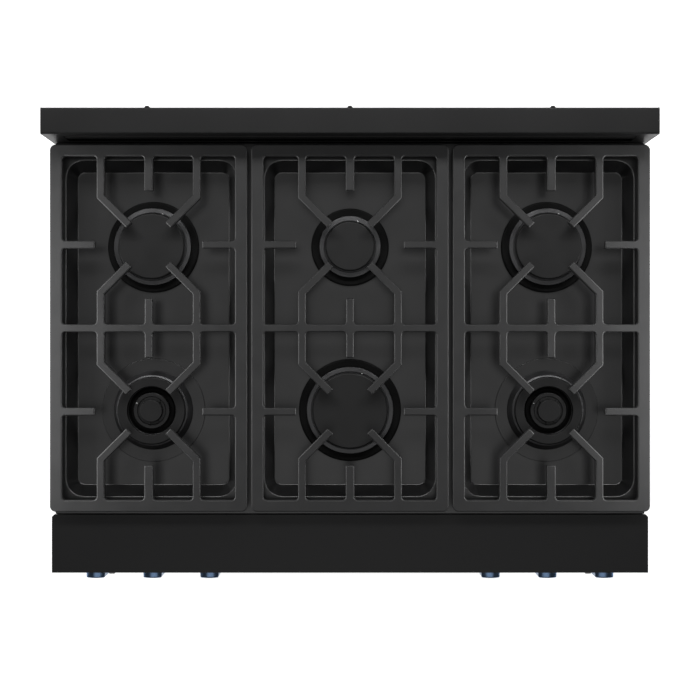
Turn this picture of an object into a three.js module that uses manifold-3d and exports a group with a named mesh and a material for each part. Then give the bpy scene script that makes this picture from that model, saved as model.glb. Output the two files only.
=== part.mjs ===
// Freestanding gas range, 36 inches wide: six burners on three enamelled wells under three cast-iron
// grates, a landing ledge with the controls below it, and one oven behind a drop-down door.
// Millimetres. +Z is up, the front faces -Y, and the origin is on the floor under the middle.

import * as THREE from "three";
import { mergeVertices } from "three/addons/utils/BufferGeometryUtils.js";
import Module from "manifold-3d";

const wasm = await Module();
wasm.setup();

// ---------- driving dimensions ----------

const GAP = 0.3; // clearance between pieces that touch
const SHEET = 2; // bent steel casing
const HALF_WIDTH = 455.5; // ledge, backguard and control panel
const BODY_HALF = 451; // side panels, cooktop and rear panel
const REAR = 363.5; // rear face of the backguard and rear panel
const FACE = -311.5; // front face of the control panel and door
const FRAME_FACE = -264; // front edge of the body, behind door and control panel
const SIDES = [-1, 1];

const TOP = 914; // top of the landing ledge
const DECK = TOP - 3; // rim of the wells
const DECK_BASE = 884; // lower edge of the cooktop, ledge and backguard
const BACKGUARD_TOP = TOP + 70;
const LEDGE_Y = [-333.8, -244.8];
const BACKGUARD_FRONT = 324;

const COLUMN_PITCH = 304;
const COLUMNS = { left: -COLUMN_PITCH, middle: 0, right: COLUMN_PITCH };
const CELL_PITCH = 252; // burner row to burner row
const COOKTOP_Y = 39.5; // middle of the grates and wells
const REAR_ROW = COOKTOP_Y + CELL_PITCH / 2;
const FRONT_ROW = COOKTOP_Y - CELL_PITCH / 2;
const PAN_FLOOR = TOP - 26;
const WELL_RIM = { width: 259, length: 512, radius: 26 };
const WELL_FLOOR = { width: 236, length: 485, radius: 12 };

const GRATE = { width: 298, length: 554.4, radius: 9, top: TOP + 24, sideBar: 18.5, endBar: 17.7 };
const GRATE_BAR = 11.5;
const GRATE_DEPTH = 15;
const FINGER_BEND = 72.5; // where a straight bar turns 45 degrees towards the burner
const FINGER_TIP = 29.4;
const SHORT_TIP = 81.2; // from the burner's middle to the tip of a short straight finger
const CENTRE_FINGER = 13; // width of the short finger on each end bar

const KNOB_Z = TOP - 65;
const KNOB_XS = [-398, -309, -220, 220, 309, 398];
const KNOB = { radius: 25, halfGrip: 15, skirt: 28, front: -38.6, step: -12.5, back: -5 };
const STEM_RADIUS = 4;
const PANEL_Z = [780.5, DECK_BASE - GAP];
const BUTTON_X = 110;

const DOOR_Z = [192, 772];
const DOOR_HALF = 455;
const DOOR_BACK = -266;
const HINGE = { y: -297, z: 197, x: 406 };
const HANDLE = { y: -351, z: TOP - 170, radius: 12.5, bracketX: 396.5 };
const WINDOW = { halfWidth: 260, z: [370, 590] };
const INNER_WINDOW = { halfWidth: 280, z: [350, 610] };
const GLASS_LAP = 12; // how far the window glass reaches behind the door's face

const CAVITY = { halfWidth: 385, y: [-262.2, 290], z: [247.5, 688.5], wall: 1.5 };
const RACK_LEVELS = [330, 400, 470, 540, 610];
const LEG_HEIGHT = 100;
const LEG_X = 405;
const LEG_YS = { front: -215, rear: 310 };
const INLET = { x: 415, y: 310, z: 170, end: 366.8 };

// ---------- materials ----------

const finish = (color, roughness, metalness) =>
  new THREE.MeshStandardMaterial({ color, roughness, metalness });
const FINISH = {
  blackSteel: finish(0x2a2a2b, 0.45, 0.6),
  blackEnamel: finish(0x1d1d1f, 0.3, 0.1),
  castIron: finish(0x3a3a3b, 0.6, 0.3),
  capEnamel: finish(0x29292a, 0.4, 0.1),
  burnerAlloy: finish(0x55565a, 0.5, 0.8),
  blueAnodised: finish(0x33568f, 0.3, 0.9),
  galvanised: finish(0x9a9da0, 0.5, 0.8),
  ovenEnamel: finish(0x24262c, 0.35, 0.1),
  chrome: finish(0xc8cacc, 0.2, 1.0),
  glass: finish(0x0b0c0e, 0.08, 0.1),
  brass: finish(0xb08d4a, 0.4, 0.9),
};

// ---------- solids ----------

const MERGE_DISTANCE = 1e-3;

/** Welds a closed geometry's vertices, drops its collapsed triangles and turns its faces outwards. */
function welded(geometry) {
  const copy = geometry.index ? geometry.clone() : mergeVertices(geometry);
  copy.deleteAttribute("normal");
  copy.deleteAttribute("uv");
  const merged = mergeVertices(copy, MERGE_DISTANCE);
  const corner = (i) => new THREE.Vector3().fromBufferAttribute(merged.attributes.position, i);
  const triangles = [];
  let volume = 0;
  for (let i = 0; i < merged.index.count; i += 3) {
    const [a, b, c] = [0, 1, 2].map((k) => merged.index.getX(i + k));
    if (a === b || b === c || c === a) continue;
    triangles.push([a, b, c]);
    volume += corner(a).dot(corner(b).cross(corner(c)));
  }
  const outward = volume < 0 ? triangles.map(([a, b, c]) => [a, c, b]) : triangles;
  merged.setIndex(outward.flat());
  return merged;
}

function toSolid(geometry) {
  const closed = welded(geometry);
  const mesh = new wasm.Mesh({
    numProp: 3,
    vertProperties: new Float32Array(closed.attributes.position.array),
    triVerts: new Uint32Array(closed.index.array),
  });
  return new wasm.Manifold(mesh);
}

function toGeometry(solid) {
  const mesh = solid.getMesh();
  const geometry = new THREE.BufferGeometry();
  geometry.setAttribute("position", new THREE.BufferAttribute(mesh.vertProperties, 3));
  geometry.setIndex(new THREE.BufferAttribute(mesh.triVerts, 1));
  geometry.computeVertexNormals();
  return geometry;
}

function join(...geometries) {
  const solids = geometries.flat().map(toSolid);
  return toGeometry(solids.reduce((sum, next) => sum.add(next)));
}

function cut(base, ...tools) {
  const solids = tools.flat().map(toSolid);
  return toGeometry(solids.reduce((rest, tool) => rest.subtract(tool), toSolid(base)));
}

/** A box from its limits along X, Y and Z. */
function block([x0, x1], [y0, y1], [z0, z1]) {
  const box = new THREE.BoxGeometry(x1 - x0, y1 - y0, z1 - z0);
  return box.translate((x0 + x1) / 2, (y0 + y1) / 2, (z0 + z1) / 2);
}

/** A box that reaches equally far to both sides of X = 0. */
const wide = (halfWidth, y, z) => block([-halfWidth, halfWidth], y, z);

/** A cylinder along X, Y or Z, from one value to another on that axis, through the point given. */
function rod(axis, radius, [from, to], [x, y, z], sides = 24) {
  const cylinder = new THREE.CylinderGeometry(radius, radius, to - from, sides);
  const middle = (from + to) / 2;
  if (axis === "x") return cylinder.rotateZ(Math.PI / 2).translate(middle, y, z);
  if (axis === "z") return cylinder.rotateX(Math.PI / 2).translate(x, y, middle);
  return cylinder.translate(x, middle, z);
}

/** A closed profile of [radius, height] points turned about the Z axis. */
function turned(profile, sides = 20) {
  const points = [...profile, profile[0]].map(([r, z]) => new THREE.Vector2(r, z));
  return new THREE.LatheGeometry(points, sides).rotateX(Math.PI / 2);
}

/** Corner points of a rounded rectangle about the origin, anticlockwise. */
function roundedOutline(width, length, radius, steps = 4) {
  const corners = [[1, 1, 0], [-1, 1, 1], [-1, -1, 2], [1, -1, 3]];
  return corners.flatMap(([sx, sy, quarter]) =>
    Array.from({ length: steps + 1 }, (_, i) => {
      const angle = (quarter + i / steps) * (Math.PI / 2);
      const x = sx * (width / 2 - radius) + radius * Math.cos(angle);
      const y = sy * (length / 2 - radius) + radius * Math.sin(angle);
      return new THREE.Vector2(x, y);
    }),
  );
}

/** A solid skinned over rings of points: equal in number, with convex flat rings at both ends. */
function skin(rings) {
  const count = rings[0].length;
  const positions = rings.flat().flatMap((p) => p.toArray());
  const index = [];
  for (let ring = 0; ring + 1 < rings.length; ring += 1) {
    for (let i = 0; i < count; i += 1) {
      const a = ring * count + i;
      const b = ring * count + ((i + 1) % count);
      index.push(a, b, b + count, a, b + count, a + count);
    }
  }
  const last = (rings.length - 1) * count;
  for (let i = 1; i + 1 < count; i += 1) {
    index.push(0, i + 1, i, last, last + i, last + i + 1);
  }
  const geometry = new THREE.BufferGeometry();
  geometry.setAttribute("position", new THREE.Float32BufferAttribute(positions, 3));
  geometry.setIndex(index);
  return geometry;
}

/** A solid skinned over flat outlines, each at its own height. */
const loft = (layers) =>
  skin(layers.map(({ outline, z }) => outline.map((p) => new THREE.Vector3(p.x, p.y, z))));

/** The corners of a route, each replaced by a short curve. */
function eased(points, bend) {
  const route = [points[0]];
  for (let i = 1; i + 1 < points.length; i += 1) {
    const towards = (other) => other.clone().sub(points[i]).setLength(bend).add(points[i]);
    const curve = new THREE.QuadraticBezierCurve3(
      towards(points[i - 1]), points[i], towards(points[i + 1]),
    );
    route.push(...curve.getPoints(3));
  }
  route.push(points.at(-1));
  return route;
}

/** A pipe along straight runs with eased corners; every joint between runs is mitred. */
function pipe(corners, radius, sides = 8) {
  const route = eased(corners.map((p) => new THREE.Vector3(...p)), radius * 2.5);
  const heading = (i) => route[i + 1].clone().sub(route[i]).normalize();
  const across = new THREE.Vector3(0.31, 0.57, 0.76).cross(heading(0)).normalize();
  const up = heading(0).cross(across);
  const start = Array.from({ length: sides }, (_, i) => {
    const angle = (2 * Math.PI * i) / sides;
    const spoke = across.clone().multiplyScalar(Math.cos(angle)).addScaledVector(up, Math.sin(angle));
    return spoke.multiplyScalar(radius).add(route[0]);
  });
  const rings = [start];
  for (let i = 1; i < route.length; i += 1) {
    const along = heading(i - 1);
    const mitre = i + 1 < route.length ? along.clone().add(heading(i)) : along;
    rings.push(rings.at(-1).map((p) => {
      const distance = mitre.dot(route[i].clone().sub(p)) / mitre.dot(along);
      return p.clone().addScaledVector(along, distance);
    }));
  }
  return skin(rings);
}

const range = new THREE.Group();

function add(name, geometry, material, position = [0, 0, 0]) {
  const mesh = new THREE.Mesh(welded(geometry), material);
  mesh.name = name;
  mesh.position.set(...position);
  range.add(mesh);
  return mesh;
}

// ---------- body ----------

const PLATE = 1.5;
const PANEL_FLANGE = 20;
const BODY_SIDE = BODY_HALF - PLATE - GAP; // inner face of a side panel, less its clearance
const LEG_HOLE = 6;
const BASE_Z = [LEG_HEIGHT, LEG_HEIGHT + 40];
const REAR_PANEL_FOOT = 200;
const KICK_HALF = 448;
const KICK_Y = [-290, FRAME_FACE - GAP];
const KICK_Z = [30, 180];
const KICK_SLOTS = [[140, 146], [154, 160]];
const KICK_SLOT_HALF = 300;
const LOUVRES = { xs: [-300, -100, 100, 300], halfWidth: 60, levels: [700, 720, 740], height: 6 };

function addBody() {
  const bodyRear = REAR - SHEET - GAP;
  const baseY = [-260, bodyRear - SHEET];
  const legHoles = SIDES.flatMap((side) =>
    Object.values(LEG_YS).map((y) => rod("z", LEG_HOLE, [90, 150], [side * LEG_X, y, 0], 16)),
  );
  const baseTray = cut(
    wide(BODY_SIDE, baseY, BASE_Z),
    wide(BODY_SIDE - SHEET, [baseY[0] + SHEET, baseY[1] - SHEET], [BASE_Z[0] + SHEET, BASE_Z[1] + 1]),
    legHoles,
  );
  add("base_frame", baseTray, FINISH.galvanised);

  for (const side of SIDES) {
    const span = (a, b) => [side * a, side * b].sort((p, q) => p - q);
    const z = [BASE_Z[0] + 5, DECK_BASE - GAP];
    const sheet = block(span(BODY_HALF - PLATE, BODY_HALF), [FRAME_FACE, bodyRear], z);
    const front = block(span(BODY_HALF - PANEL_FLANGE, BODY_HALF), [FRAME_FACE, FRAME_FACE + PLATE], z);
    const head = block(span(BODY_HALF - PANEL_FLANGE, BODY_HALF), [FRAME_FACE, bodyRear], [z[1] - PLATE, z[1]]);
    const name = side < 0 ? "side_panel_left" : "side_panel_right";
    add(name, join(sheet, front, head), FINISH.blackSteel);
  }

  const { xs, halfWidth, levels, height } = LOUVRES;
  const louvres = xs.flatMap((x) => levels.map((z) =>
    block([x - halfWidth, x + halfWidth], [REAR - 10, REAR + 10], [z, z + height]),
  ));
  const back = wide(BODY_HALF, [REAR - SHEET, REAR], [REAR_PANEL_FOOT, DECK_BASE - GAP]);
  add("rear_panel", cut(back, louvres), FINISH.galvanised);

  const kick = cut(
    wide(KICK_HALF, KICK_Y, KICK_Z),
    wide(KICK_HALF - PLATE, [KICK_Y[0] + PLATE, KICK_Y[1] + 1], [KICK_Z[0] - 1, KICK_Z[1] - PLATE]),
    KICK_SLOTS.map((slotZ) => wide(KICK_SLOT_HALF, [KICK_Y[0] - 1, KICK_Y[0] + 5], slotZ)),
  );
  add("toe_kick", kick, FINISH.blackSteel);
}

// ---------- cooktop, ledge and backguard ----------

const BURNER_HOLE = 19;
const LEDGE_CORNER = 3.6; // cut off the ledge's rear corners
const VENT_SLOTS = [[TOP + 2, TOP + 22], [TOP + 39, TOP + 50]];
const VENT_HALF = 427;

function wellLayers(grow, rimZ, floorZ) {
  const layer = ({ width, length, radius }, z) => ({
    outline: roundedOutline(width + 2 * grow, length + 2 * grow, radius + grow),
    z,
  });
  return [layer(WELL_FLOOR, floorZ), layer(WELL_RIM, rimZ), layer(WELL_RIM, rimZ + 6)];
}

function addCooktop() {
  const y = [LEDGE_Y[1] + GAP, BACKGUARD_FRONT - GAP];
  const deck = cut(
    wide(BODY_HALF, y, [DECK_BASE, DECK]),
    wide(BODY_HALF - SHEET, [y[0] + SHEET, y[1] - SHEET], [DECK_BASE - 1, DECK - SHEET]),
  );
  const place = (geometry, x) => geometry.translate(x, COOKTOP_Y, 0);
  const xs = Object.values(COLUMNS);
  const trays = xs.map((x) => place(loft(wellLayers(SHEET, DECK - 6, PAN_FLOOR - SHEET)), x));
  const hollows = xs.map((x) => place(loft(wellLayers(0, DECK, PAN_FLOOR)), x));
  const holes = xs.flatMap((x) =>
    [REAR_ROW, FRONT_ROW].map((row) => rod("z", BURNER_HOLE, [860, 900], [x, row, 0], 16)),
  );
  add("cooktop", cut(join(deck, trays), hollows, holes), FINISH.blackEnamel);
}

function addLedge() {
  const [front, rear] = LEDGE_Y;
  const z = [DECK_BASE, TOP];
  const ledge = cut(
    wide(HALF_WIDTH, [front, rear], z),
    wide(HALF_WIDTH - SHEET, [front + SHEET, rear - SHEET], [z[0] + SHEET, z[1] - SHEET]),
    wide(HALF_WIDTH - SHEET, [FACE + 8, rear - SHEET], [z[0] - 1, z[0] + SHEET + 1]),
    SIDES.map((side) => {
      const corner = new THREE.BoxGeometry(LEDGE_CORNER * Math.SQRT2, LEDGE_CORNER * Math.SQRT2, 80);
      return corner.rotateZ(Math.PI / 4).translate(side * HALF_WIDTH, rear, TOP);
    }),
  );
  add("landing_ledge", ledge, FINISH.blackSteel);
}

function addBackguard() {
  const z = [DECK_BASE, BACKGUARD_TOP];
  const slotY = [BACKGUARD_FRONT - 1, BACKGUARD_FRONT + SHEET + 1];
  const backguard = cut(
    wide(HALF_WIDTH, [BACKGUARD_FRONT, REAR], z),
    wide(HALF_WIDTH - SHEET, [BACKGUARD_FRONT + SHEET, REAR - SHEET], [z[0] - 1, z[1] - SHEET]),
    VENT_SLOTS.map((slotZ) => wide(VENT_HALF, slotY, slotZ)),
  );
  add("backguard", backguard, FINISH.blackSteel);
}

// ---------- burners ----------

const CAP_SEAT = 18; // top of a burner head above the pan floor
const THROAT = 38; // length of the mixing tube below the pan floor
const SINGLE_BURNERS = {
  rear_left: { column: "left", row: REAR_ROW, base: 70.3, head: 59.5, cap: 50.7 },
  rear_middle: { column: "middle", row: REAR_ROW, base: 60, head: 47.6, cap: 38.2 },
  rear_right: { column: "right", row: REAR_ROW, base: 70.3, head: 59.5, cap: 50.7 },
  front_middle: { column: "middle", row: FRONT_ROW, base: 79, head: 67, cap: 58.2 },
};
const DUAL_BURNERS = {
  front_left: { column: "left", row: FRONT_ROW },
  front_right: { column: "right", row: FRONT_ROW },
};

function singleHead({ base, head, cap }) {
  const chamber = cap - 12;
  return turned([
    [12, -THROAT], [17, -THROAT], [17, GAP], [base, GAP], [base - 1, 4.5], [head + 1, 5.5],
    [head - 1, 12], [cap - 4, 13], [cap - 4, CAP_SEAT], [chamber, CAP_SEAT], [chamber, 7],
    [12, 7],
  ]);
}

function singleCap({ cap }) {
  const seat = CAP_SEAT + GAP;
  const boss = cap - 13;
  return turned([
    [0, seat - 4], [boss, seat - 4], [boss, seat], [cap, seat], [cap, seat + 2.6],
    [cap - 2.4, seat + 4.8], [0, seat + 4.8],
  ]);
}

function dualHead() {
  return turned([
    [9, -THROAT], [15, -THROAT], [15, GAP], [79.8, GAP], [79.8, 2], [61, 4], [57, 14],
    [50, CAP_SEAT - 2], [50, 8], [41, 8], [41, CAP_SEAT - 2], [36.3, CAP_SEAT - 2], [36.3, 4],
    [29.5, 4], [28, CAP_SEAT], [20, CAP_SEAT], [20, 9], [9, 9],
  ]);
}

function ringCap() {
  const seat = CAP_SEAT - 2 + GAP;
  return turned([
    [42, seat - 4], [49, seat - 4], [49, seat], [52.2, seat], [51.8, seat + 4.2],
    [50, seat + 6.2], [37, seat + 6.2], [36.6, seat], [42, seat],
  ]);
}

function innerCap() {
  const seat = CAP_SEAT + GAP;
  return turned([
    [0, seat - 4], [19, seat - 4], [19, seat], [21.2, seat], [21.2, seat + 4], [18, seat + 4.6],
    [16.6, seat + 9], [0, seat + 9],
  ], 16);
}

function addBurners() {
  for (const [place, burner] of Object.entries(SINGLE_BURNERS)) {
    const position = [COLUMNS[burner.column], burner.row, PAN_FLOOR];
    add(`burner_head_${place}`, singleHead(burner), FINISH.burnerAlloy, position);
    add(`burner_cap_${place}`, singleCap(burner), FINISH.capEnamel, position);
  }
  for (const [place, burner] of Object.entries(DUAL_BURNERS)) {
    const position = [COLUMNS[burner.column], burner.row, PAN_FLOOR];
    add(`burner_head_${place}`, dualHead(), FINISH.burnerAlloy, position);
    add(`burner_ring_cap_${place}`, ringCap(), FINISH.capEnamel, position);
    add(`burner_inner_cap_${place}`, innerCap(), FINISH.capEnamel, position);
  }
}

// ---------- grates ----------

/** A straight grate bar between two points, its top at height 0. */
function grateBar([x0, y0], [x1, y1], width = GRATE_BAR) {
  const length = Math.hypot(x1 - x0, y1 - y0);
  const bar = new THREE.BoxGeometry(length, width, GRATE_DEPTH).rotateZ(Math.atan2(y1 - y0, x1 - x0));
  return bar.translate((x0 + x1) / 2, (y0 + y1) / 2, -GRATE_DEPTH / 2);
}

/** The bars over one burner: `outer` is +1 for the rear burner and -1 for the front one. */
function cellBars(outer) {
  const centre = (outer * CELL_PITCH) / 2;
  const endBar = GRATE.length / 2 - GRATE.endBar / 2;
  const sideBar = GRATE.width / 2 - GRATE.sideBar / 2;
  const bars = [];
  for (const side of SIDES) {
    const x = side * FINGER_BEND;
    for (const away of SIDES) {
      const bend = [x, centre + away * FINGER_BEND];
      const root = [x, away === outer ? outer * endBar : 0];
      const tip = [side * FINGER_TIP, centre + away * FINGER_TIP];
      bars.push(grateBar(root, bend), grateBar(bend, tip));
      const knee = rod("z", GRATE_BAR / 2, [-GRATE_DEPTH, 0], [...bend, 0], 8);
      bars.push(knee);
    }
    bars.push(grateBar([side * sideBar, centre], [side * SHORT_TIP, centre]));
  }
  bars.push(grateBar([0, outer * endBar], [0, centre + outer * SHORT_TIP], CENTRE_FINGER));
  bars.push(grateBar([0, 0], [0, centre - outer * SHORT_TIP]));
  return bars;
}

function grate() {
  const { width, length, radius, sideBar, endBar } = GRATE;
  const outer = loft([
    { outline: roundedOutline(width, length, radius, 4), z: -GRATE_DEPTH },
    { outline: roundedOutline(width, length, radius, 4), z: 0 },
  ]);
  const inside = [width / 2 - sideBar, length / 2 - endBar];
  const opening = block([-inside[0], inside[0]], [-inside[1], inside[1]], [-GRATE_DEPTH - 1, 1]);
  const crossbar = grateBar([-inside[0] - 2, 0], [inside[0] + 2, 0]);
  const footTop = -GRATE_DEPTH + 2;
  const footBase = DECK + GAP - GRATE.top;
  const feet = SIDES.flatMap((side) => [-1, 0, 1].map((row) => {
    const x = side * (width / 2 - 8);
    const y = row * (length / 2 - 14);
    return block([x - 6, x + 6], [y - 8, y + 8], [footBase, footTop]);
  }));
  return join(cut(outer, opening), crossbar, cellBars(1), cellBars(-1), feet);
}

function addGrates() {
  for (const [place, x] of Object.entries(COLUMNS)) {
    add(`grate_${place}`, grate(), FINISH.castIron, [x, COOKTOP_Y, GRATE.top]);
  }
}

// ---------- controls ----------

const VALVE_HALF = 15;
const VALVE_Y = [27, 76]; // front and rear of a valve block, behind the panel face
const SHAFT_HOLE = 6;
const RAIL_RADIUS = 11;
const DIAL = { skirt: 30, grip: 20 };
const BUTTON = { radius: 8, flange: 11 };

/** A round knob with two flats, its axis along Y and the panel face at Y = 0. */
function knob() {
  const { radius, halfGrip, skirt, front, step, back } = KNOB;
  const angle = Math.acos(halfGrip / radius);
  const outline = new THREE.Shape();
  outline.absarc(0, 0, radius, angle, Math.PI - angle, false);
  outline.absarc(0, 0, radius, Math.PI + angle, 2 * Math.PI - angle, false);
  const options = { depth: step - front + 1, bevelEnabled: false, curveSegments: 6 };
  const grip = new THREE.ExtrudeGeometry(outline, options).rotateX(Math.PI / 2).translate(0, step + 1, 0);
  const disc = rod("y", skirt, [step, back], [0, 0, 0]);
  const bore = rod("y", STEM_RADIUS + GAP, [step - 14.5, back + 1], [0, 0, 0], 12);
  return cut(join(grip, disc), bore);
}

function addControls() {
  const hollowY = [FACE + PLATE, FRAME_FACE + 1];
  const holes = [...KNOB_XS, 0].map((x) => rod("y", SHAFT_HOLE, [FACE - 1, FACE + 5], [x, 0, KNOB_Z], 12));
  const panel = cut(
    wide(HALF_WIDTH, [FACE, FRAME_FACE - GAP], PANEL_Z),
    wide(HALF_WIDTH - PLATE, hollowY, [PANEL_Z[0] + PLATE, PANEL_Z[1] - PLATE]),
    holes,
    rod("y", BUTTON.radius + 2 * GAP, [FACE - 1, FACE + 5], [BUTTON_X, 0, KNOB_Z], 16),
  );
  add("control_panel", panel, FINISH.blackSteel);

  KNOB_XS.forEach((x, i) => {
    const position = [x, FACE, KNOB_Z];
    add(`valve_stem_${i + 1}`, rod("y", STEM_RADIUS, [-26, 49.5], [0, 0, 0], 12), FINISH.brass, position);
    add(`burner_knob_${i + 1}`, knob(), FINISH.blueAnodised, position);
  });

  const dial = join(
    rod("y", DIAL.skirt, [-12, -4], [0, 0, 0]),
    rod("y", DIAL.grip, [-19.5, -11], [0, 0, 0]),
    rod("y", STEM_RADIUS, [-5, 46], [0, 0, 0], 12),
  );
  add("oven_dial", dial, FINISH.blueAnodised, [0, FACE, KNOB_Z]);
  const button = join(
    rod("y", BUTTON.radius, [-6, 8], [0, 0, 0], 16),
    rod("y", BUTTON.flange, [4, 8], [0, 0, 0], 16),
  );
  add("light_button", button, FINISH.blackSteel, [BUTTON_X, FACE, KNOB_Z]);
}

/** The gas rail behind the control panel with a valve at each control, and its feed from the inlet. */
function addGasSystem() {
  const railY = FACE + VALVE_Y[1] - 6;
  const feedX = 425;
  const rail = rod("x", RAIL_RADIUS, [-430, feedX], [0, railY, KNOB_Z], 12);
  const feed = pipe([
    [feedX, railY, KNOB_Z], [feedX, railY, INLET.z + 15], [feedX, INLET.y - 36, INLET.z + 15],
  ], 8);
  const valves = [...KNOB_XS, 0].map((x) => block(
    [x - VALVE_HALF, x + VALVE_HALF],
    [FACE + VALVE_Y[0], FACE + VALVE_Y[1]],
    [KNOB_Z - VALVE_HALF, KNOB_Z + VALVE_HALF],
  ));
  const bores = [...KNOB_XS, 0].map((x) =>
    rod("y", STEM_RADIUS + GAP, [FACE + VALVE_Y[0] - 1, FACE + 54], [x, 0, KNOB_Z], 12),
  );
  add("gas_manifold", cut(join(rail, feed, valves), bores), FINISH.galvanised);

  const regulator = join(
    rod("z", 26, [BASE_Z[1] + GAP, INLET.z + 22], [INLET.x, INLET.y, 0], 24),
    rod("z", 18, [INLET.z + 20, INLET.z + 36], [INLET.x, INLET.y, 0], 24),
    block([INLET.x - 6, INLET.x + 20], [INLET.y - 36 + GAP, INLET.y], [INLET.z + 5, INLET.z + 25]),
    rod("y", 10.5, [INLET.y, INLET.end], [INLET.x, 0, INLET.z], 20),
    rod("y", 14, [INLET.y, INLET.end - 16], [INLET.x, 0, INLET.z], 6),
  );
  add("pressure_regulator", regulator, FINISH.galvanised);
}

// ---------- oven ----------

const BAKE_Z = 266;
const BROIL_Z = 660;
const OVEN_TUBE = 8;
const RIB = { reach: 12, thick: 5 };
const FLOOR_LEVEL = 285.7; // top of the ribs that carry the oven floor
const FLOOR_SLOTS = [-330, -220, 220, 330];
const FACE_FRAME_Z = [186, 778];
const RACK = { halfWidth: 379, y: [-232, 240], rim: 7, wire: 4, wires: 13, crossWires: [-90, 90] };

function addOven() {
  const { halfWidth, y, z, wall } = CAVITY;
  const liner = cut(
    wide(halfWidth + wall, [y[0], y[1]], [z[0] - wall, z[1] + wall]),
    wide(halfWidth, [y[0] - 1, y[1] - wall], z),
    rod("y", OVEN_TUBE + 2, [y[1] - 10, y[1] + 10], [0, 0, BAKE_Z], 16),
    rod("y", OVEN_TUBE + 2, [y[1] - 10, y[1] + 10], [60, 0, BROIL_Z], 16),
  );
  const face = cut(
    wide(BODY_SIDE - GAP, [y[0], y[0] + wall], FACE_FRAME_Z),
    wide(halfWidth, [y[0] - 1, y[0] + wall + 1], z),
  );
  const ribs = [FLOOR_LEVEL, ...RACK_LEVELS].flatMap((level) => SIDES.map((side) => {
    const x = [side * (halfWidth - RIB.reach), side * (halfWidth + 1)].sort((p, q) => p - q);
    return block(x, [y[0] + 12, y[1] - 12], [level - RIB.thick, level]);
  }));
  add("oven_cavity", join(liner, face, ribs), FINISH.ovenEnamel);

  const slots = FLOOR_SLOTS.map((x) => block([x - 5, x + 5], [-180, 200], [280, 295]));
  const floorZ = [FLOOR_LEVEL + GAP, FLOOR_LEVEL + GAP + PLATE];
  const floor = wide(halfWidth - 5, [y[0] + 14, y[1] - 20], floorZ);
  add("oven_floor", cut(floor, slots), FINISH.ovenEnamel);

  const bake = pipe([
    [0, 300, BAKE_Z], [0, 200, BAKE_Z], [-250, 200, BAKE_Z], [-250, -180, BAKE_Z],
    [250, -180, BAKE_Z], [250, 190, BAKE_Z],
  ], OVEN_TUBE);
  add("bake_burner", bake, FINISH.galvanised);
  const broil = pipe([
    [60, 300, BROIL_Z], [60, 180, BROIL_Z], [-200, 180, BROIL_Z], [-200, -150, BROIL_Z],
    [200, -150, BROIL_Z], [200, 150, BROIL_Z],
  ], OVEN_TUBE);
  add("broil_burner", broil, FINISH.galvanised);
}

function rack() {
  const { halfWidth, y, rim, wire, wires, crossWires } = RACK;
  const inside = [y[0] + rim, y[1] - rim];
  const frame = cut(wide(halfWidth, y, [0, rim]), wide(halfWidth - rim, inside, [-1, rim + 1]));
  const wireZ = [rim - wire - 0.5, rim - 0.5];
  const pieces = [];
  for (let i = 1; i <= wires; i += 1) {
    const x = -halfWidth + (2 * halfWidth * i) / (wires + 1);
    pieces.push(block([x - wire / 2, x + wire / 2], [y[0] + 2, y[1] - 2], wireZ));
  }
  for (const middle of crossWires) {
    pieces.push(wide(halfWidth - 2, [middle - 3, middle + 3], [0.5, wireZ[0] + 1.5]));
  }
  return join(frame, pieces);
}

function addRacks() {
  add("rack_lower", rack(), FINISH.chrome, [0, 0, RACK_LEVELS[1] + GAP]);
  add("rack_upper", rack(), FINISH.chrome, [0, 0, RACK_LEVELS[3] + GAP]);
}

// ---------- door ----------

const COLLAR = { radius: 15.8, half: 4.5 };
const POST_RADIUS = 9;

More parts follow.
